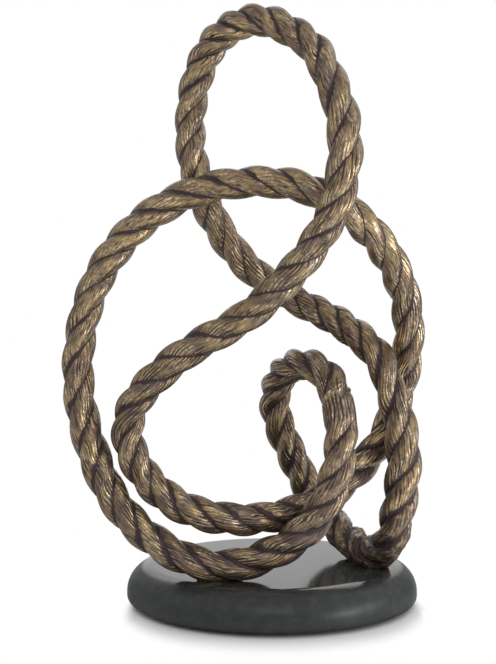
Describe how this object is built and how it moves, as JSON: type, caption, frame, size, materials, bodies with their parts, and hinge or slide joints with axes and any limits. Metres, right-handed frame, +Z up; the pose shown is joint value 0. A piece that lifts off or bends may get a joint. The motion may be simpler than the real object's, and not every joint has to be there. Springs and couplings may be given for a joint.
{
  "type": "knot sculpture",
  "caption": "Tabletop sculpture: an endless loop of cast metal rope with an antique brass finish, tied in an open knot and standing on a round polished dark stone base.",
  "frame": {"origin": "centre of the underside, on the table", "axes": "+Z up, the front faces -Y, +X to the right as seen from the front"},
  "size_m": [0.2696, 0.2206, 0.447],
  "materials": {
    "rope_metal": "cast aluminium with an antique brass patina, dark in the grooves and rubbed bright on the crests",
    "stone": "dark granite, polished top and satin rim",
    "steel": "plain zinc-plated steel",
    "felt": "black felt"
  },
  "bodies": {
    "root": {"crown_left": "rope_metal", "crown_right": "rope_metal", "front_diagonal": "rope_metal", "inner_bowl": "rope_metal", "ring_right": "rope_metal", "ring_top": "rope_metal", "ring_left": "rope_metal", "ring_foot": "rope_metal", "riser": "rope_metal", "small_loop": "rope_metal", "foot_hook": "rope_metal", "rear_diagonal": "rope_metal", "joint_dowel_1": "steel", "joint_dowel_2": "steel", "joint_dowel_3": "steel", "joint_dowel_4": "steel", "joint_dowel_5": "steel", "joint_dowel_6": "steel", "joint_dowel_7": "steel", "joint_dowel_8": "steel", "joint_dowel_9": "steel", "joint_dowel_10": "steel", "joint_dowel_11": "steel", "joint_dowel_12": "steel", "foot_stud_ring": "steel", "foot_stud_hook": "steel", "foot_washer_ring": "steel", "foot_washer_hook": "steel", "foot_nut_ring": "steel", "foot_nut_hook": "steel", "base_disc": "stone", "base_pad": "felt"}
  },
  "joints": []
}
